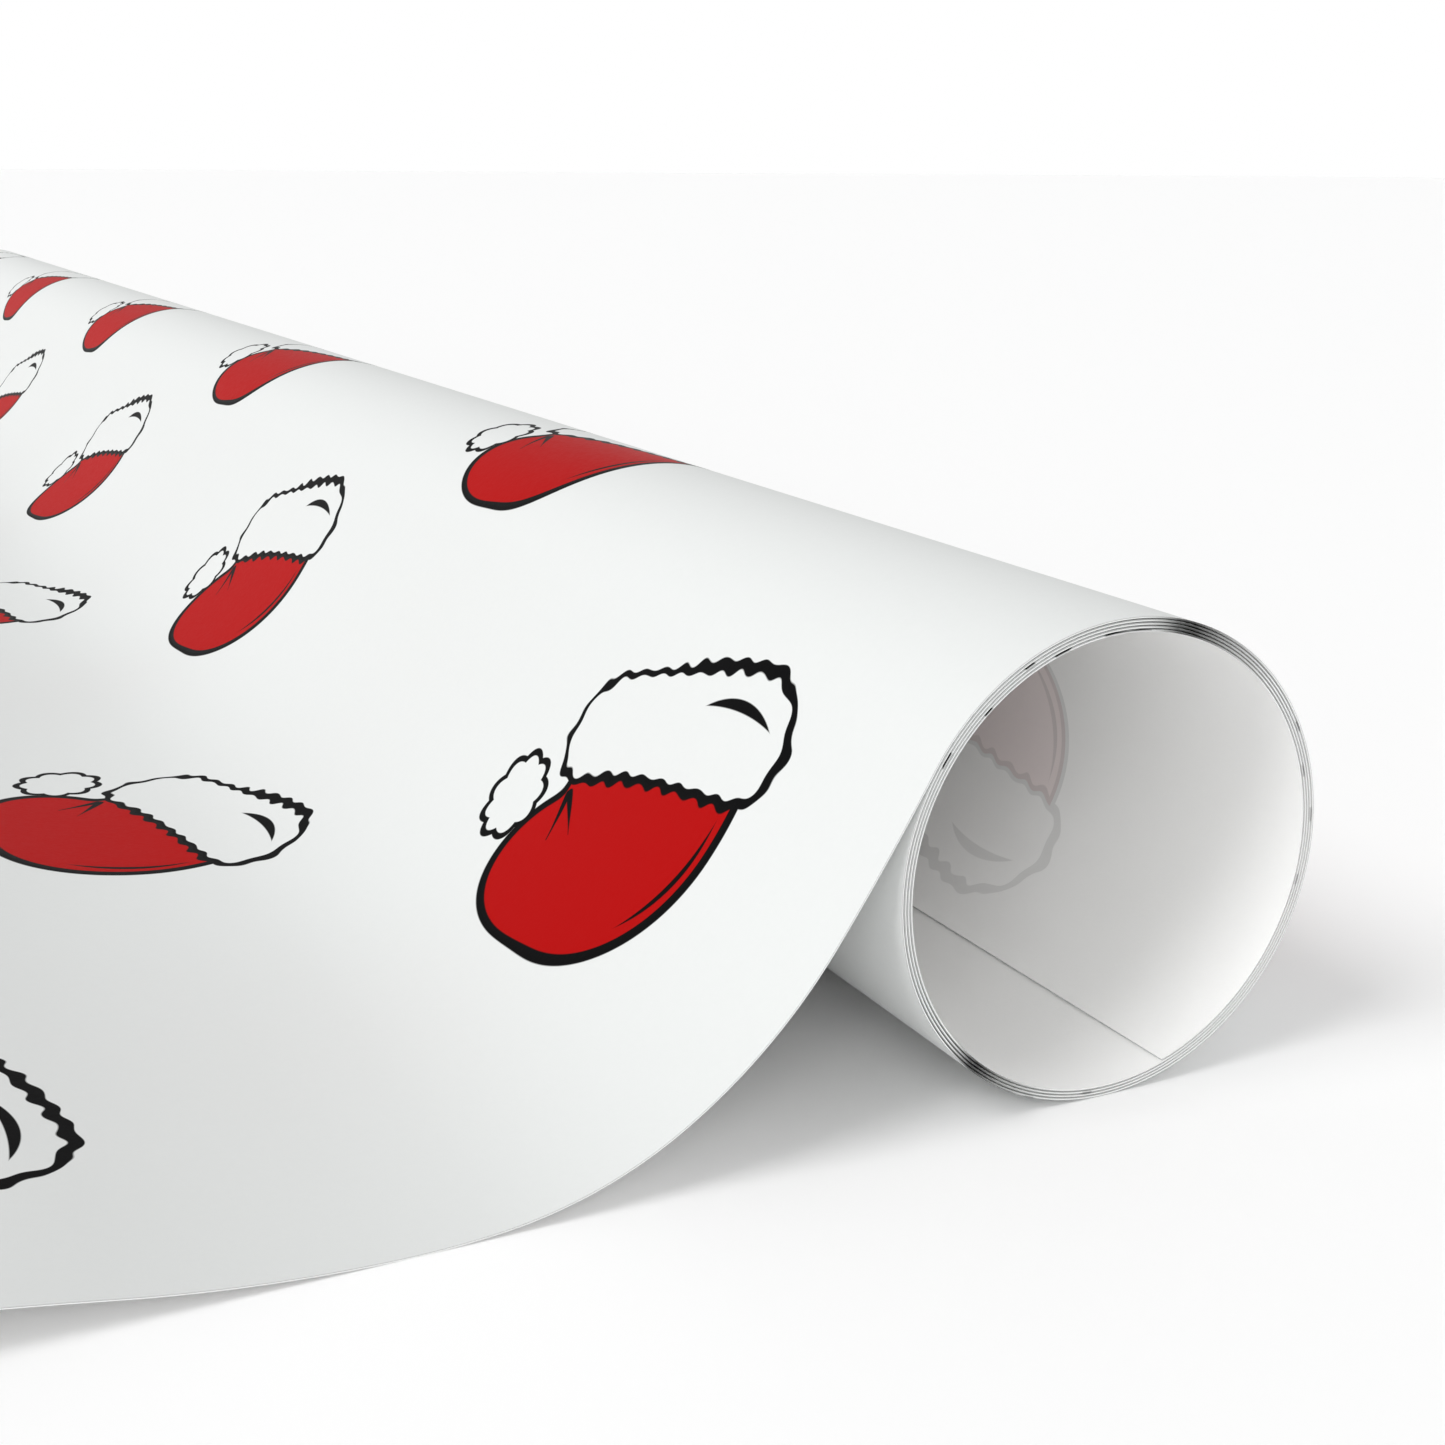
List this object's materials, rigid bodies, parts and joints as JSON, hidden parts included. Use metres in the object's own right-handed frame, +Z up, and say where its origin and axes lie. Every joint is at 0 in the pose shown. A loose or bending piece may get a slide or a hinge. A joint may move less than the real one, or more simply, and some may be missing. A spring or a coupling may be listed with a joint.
{
  "type": "gift wrapping paper roll",
  "caption": "Coreless roll of printed gift wrap, wound in a loose coil with its outer end lying open beside it.",
  "frame": {"origin": "on the coil's axis, halfway along the roll", "axes": "+Y along the roll, away from the near end; +Z up; the loose end of the sheet lies towards -X"},
  "size_m": [0.2967, 0.762, 0.0457],
  "materials": {
    "paper": "satin paper, white, with a red, white and black winter hat print on its outer side"
  },
  "bodies": {
    "outer_turn": {"turn_4_left": "paper", "turn_5_right": "paper", "turn_5_left": "paper"},
    "turn_4_right": {"turn_4_right": "paper"},
    "turn_3_left": {"turn_3_left": "paper"},
    "turn_3_right": {"turn_3_right": "paper"},
    "turn_2_left": {"turn_2_left": "paper"},
    "turn_2_right": {"turn_2_right": "paper"},
    "turn_1_left": {"turn_1_left": "paper"},
    "turn_1_right": {"turn_1_right": "paper"},
    "inner_lip": {"inner_lip": "paper"},
    "flap_1": {"flap_1": "paper"},
    "flap_2": {"flap_2": "paper"},
    "flap_3": {"flap_3": "paper"},
    "flap_4": {"flap_4": "paper"},
    "flap_5": {"flap_5": "paper"},
    "flap_6": {"flap_6": "paper"},
    "flap_7": {"flap_7": "paper"},
    "flap_8": {"flap_8": "paper"},
    "flap_9": {"flap_9": "paper"}
  },
  "joints": [
    {"name": "telescope_1", "type": "slide", "parent": "outer_turn", "child": "turn_4_right", "axis": [0, -1, 0], "range_m": [-0.008, 0.008]},
    {"name": "telescope_2", "type": "slide", "parent": "turn_4_right", "child": "turn_3_left", "axis": [0, -1, 0], "range_m": [-0.008, 0.008]},
    {"name": "telescope_3", "type": "slide", "parent": "turn_3_left", "child": "turn_3_right", "axis": [0, -1, 0], "range_m": [-0.008, 0.008]},
    {"name": "telescope_4", "type": "slide", "parent": "turn_3_right", "child": "turn_2_left", "axis": [0, -1, 0], "range_m": [-0.008, 0.008]},
    {"name": "telescope_5", "type": "slide", "parent": "turn_2_left", "child": "turn_2_right", "axis": [0, -1, 0], "range_m": [-0.008, 0.008]},
    {"name": "telescope_6", "type": "slide", "parent": "turn_2_right", "child": "turn_1_left", "axis": [0, -1, 0], "range_m": [-0.008, 0.008]},
    {"name": "telescope_7", "type": "slide", "parent": "turn_1_left", "child": "turn_1_right", "axis": [0, -1, 0], "range_m": [-0.008, 0.008]},
    {"name": "inner_lip_flex", "type": "hinge", "parent": "turn_1_right", "child": "inner_lip", "pos_m": [0.02158, 0, 0.00007], "axis": [0, 1, 0], "range_deg": [0, 25], "stiffness_Nm_per_rad": 0.02},
    {"name": "flap_flex_1", "type": "hinge", "parent": "outer_turn", "child": "flap_1", "pos_m": [-0.01985, 0, 0.01139], "axis": [0, 1, 0], "range_deg": [0, 15], "stiffness_Nm_per_rad": 0.01},
    {"name": "flap_flex_2", "type": "hinge", "parent": "flap_1", "child": "flap_2", "pos_m": [-0.02903, 0, -0.00316], "axis": [0, 1, 0], "range_deg": [0, 15], "stiffness_Nm_per_rad": 0.01},
    {"name": "flap_flex_3", "type": "hinge", "parent": "flap_2", "child": "flap_3", "pos_m": [-0.04248, 0, -0.01638], "axis": [0, 1, 0], "range_deg": [0, 15], "stiffness_Nm_per_rad": 0.01},
    {"name": "flap_flex_4", "type": "hinge", "parent": "flap_3", "child": "flap_4", "pos_m": [-0.05973, 0, -0.0224], "axis": [0, 1, 0], "range_deg": [0, 15], "stiffness_Nm_per_rad": 0.01},
    {"name": "flap_flex_5", "type": "hinge", "parent": "flap_4", "child": "flap_5", "pos_m": [-0.06891, 0, -0.02267], "axis": [0, 1, 0], "range_deg": [0, 15], "stiffness_Nm_per_rad": 0.01},
    {"name": "flap_flex_6", "type": "hinge", "parent": "flap_5", "child": "flap_6", "pos_m": [-0.08966, 0, -0.02045], "axis": [0, 1, 0], "range_deg": [0, 15], "stiffness_Nm_per_rad": 0.01},
    {"name": "flap_flex_7", "type": "hinge", "parent": "flap_6", "child": "flap_7", "pos_m": [-0.13558, 0, -0.01424], "axis": [0, 1, 0], "range_deg": [0, 15], "stiffness_Nm_per_rad": 0.01},
    {"name": "flap_flex_8", "type": "hinge", "parent": "flap_7", "child": "flap_8", "pos_m": [-0.18188, 0, -0.01254], "axis": [0, 1, 0], "range_deg": [0, 15], "stiffness_Nm_per_rad": 0.01},
    {"name": "flap_flex_9", "type": "hinge", "parent": "flap_8", "child": "flap_9", "pos_m": [-0.22812, 0, -0.01537], "axis": [0, 1, 0], "range_deg": [0, 15], "stiffness_Nm_per_rad": 0.01}
  ],
  "couplings": [
    {"joint": "telescope_2", "follows": "telescope_1", "ratio": 1},
    {"joint": "telescope_3", "follows": "telescope_1", "ratio": 1},
    {"joint": "telescope_4", "follows": "telescope_1", "ratio": 1},
    {"joint": "telescope_5", "follows": "telescope_1", "ratio": 1},
    {"joint": "telescope_6", "follows": "telescope_1", "ratio": 1},
    {"joint": "telescope_7", "follows": "telescope_1", "ratio": 1},
    {"joint": "flap_flex_2", "follows": "flap_flex_1", "ratio": 1},
    {"joint": "flap_flex_3", "follows": "flap_flex_1", "ratio": 1},
    {"joint": "flap_flex_4", "follows": "flap_flex_1", "ratio": 1},
    {"joint": "flap_flex_5", "follows": "flap_flex_1", "ratio": 1},
    {"joint": "flap_flex_6", "follows": "flap_flex_1", "ratio": 1},
    {"joint": "flap_flex_7", "follows": "flap_flex_1", "ratio": 1},
    {"joint": "flap_flex_8", "follows": "flap_flex_1", "ratio": 1},
    {"joint": "flap_flex_9", "follows": "flap_flex_1", "ratio": 1}
  ]
}
